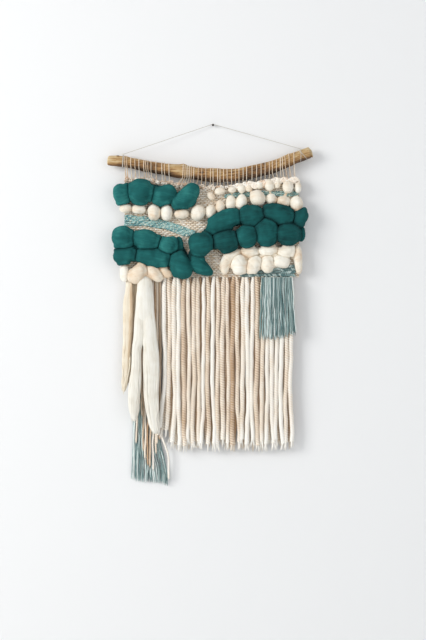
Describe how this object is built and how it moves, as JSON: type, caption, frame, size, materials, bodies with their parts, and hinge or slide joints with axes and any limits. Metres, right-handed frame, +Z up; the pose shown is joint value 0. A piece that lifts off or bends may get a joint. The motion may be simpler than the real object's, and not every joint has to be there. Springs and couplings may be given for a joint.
{
  "type": "woven wall hanging",
  "caption": "Woven wall hanging on a natural branch, with a cord and nail, bubbles of wool roving, weft bands, tassels and a long plied fringe.",
  "frame": {"origin": "on the nail's axis, where it meets the wall's face", "axes": "+X right, +Y into the wall along the nail, +Z up; the front faces -Y"},
  "size_m": [0.412, 0.0809, 0.7279],
  "materials": {
    "nail_steel": "dull dark steel",
    "cord_cotton": "thin off-white twisted string",
    "driftwood": "bare dry branch, golden brown with a darker underside and pale cut ends",
    "warp_cotton": "thin cream twisted thread",
    "ground_weave": "open plain weave in cream with a brown shadow lattice",
    "cream_yarn": "curly cream yarn",
    "tweed_yarn": "blue-green flecked yarn",
    "blue_yarn": "matt pale blue-grey yarn",
    "teal_wool": "soft unspun wool, fine fibres along its length",
    "cream_wool": "soft unspun wool, fine fibres along its length",
    "ivory_wool": "smooth unspun wool with a slight sheen",
    "beige_wool": "unspun wool, a little darker",
    "fringe_yarn": "thick plied wool yarn, ivory to beige"
  },
  "bodies": {
    "nail": {"wall_nail": "nail_steel"},
    "hanger": {"hanging_cord": "cord_cotton", "cord_knot_left": "cord_cotton", "cord_tie_right": "cord_cotton", "branch": "driftwood", "warp_loops": "warp_cotton"},
    "weaving": {"woven_ground": "ground_weave", "top_knots": "cream_yarn", "weft_band_left": "tweed_yarn", "weft_band_right": "tweed_yarn", "soumak_band": "blue_yarn", "teal_roving_top": "teal_wool", "teal_roving_left_upper": "teal_wool", "teal_roving_left_lower": "teal_wool", "teal_roving_right_upper": "teal_wool", "teal_roving_right_lower": "teal_wool", "cream_roving_middle_left": "cream_wool", "cream_roving_middle_right": "cream_wool", "cream_roving_top_right": "cream_wool", "cream_roving_low_upper": "cream_wool", "cream_roving_low_lower": "cream_wool", "cream_roving_arch": "cream_wool", "cream_edge_strand": "cream_wool", "roving_fold_wide": "cream_wool", "roving_fold_front": "cream_wool", "roving_fold_back": "cream_wool", "roving_edge_end": "cream_wool"},
    "fringe": {"fringe_left": "fringe_yarn", "fringe_middle": "fringe_yarn", "fringe_right": "fringe_yarn"},
    "tassel_behind": {"left_tassel": "blue_yarn"},
    "tails_front": {"front_roving": "ivory_wool"},
    "tail_side": {"side_roving": "beige_wool"},
    "tassel_front": {"right_tassel": "blue_yarn"}
  },
  "joints": [
    {"name": "hanger_swing", "type": "hinge", "parent": "nail", "child": "hanger", "pos_m": [0, 0, 0], "axis": [0, 1, 0], "range_deg": [-6, 6]},
    {"name": "weaving_lift", "type": "hinge", "parent": "hanger", "child": "weaving", "pos_m": [0, -0.014, -0.108], "axis": [-1, 0, 0], "range_deg": [0, 25]},
    {"name": "fringe_lift", "type": "hinge", "parent": "weaving", "child": "fringe", "pos_m": [0, -0.014, -0.311], "axis": [-1, 0, 0], "range_deg": [0, 28]},
    {"name": "tassel_behind_lift", "type": "hinge", "parent": "weaving", "child": "tassel_behind", "pos_m": [-0.135, -0.0035, -0.32], "axis": [-1, 0, 0], "range_deg": [0, 10]},
    {"name": "tails_front_lift", "type": "hinge", "parent": "tassel_behind", "child": "tails_front", "pos_m": [-0.138, -0.028, -0.322], "axis": [-1, 0, 0], "range_deg": [0, 28]},
    {"name": "tail_side_lift", "type": "hinge", "parent": "weaving", "child": "tail_side", "pos_m": [-0.17, -0.016, -0.32], "axis": [-1, 0, 0], "range_deg": [0, 28]},
    {"name": "tassel_front_lift", "type": "hinge", "parent": "fringe", "child": "tassel_front", "pos_m": [0.128, -0.026, -0.314], "axis": [-1, 0, 0], "range_deg": [0, 28]}
  ]
}
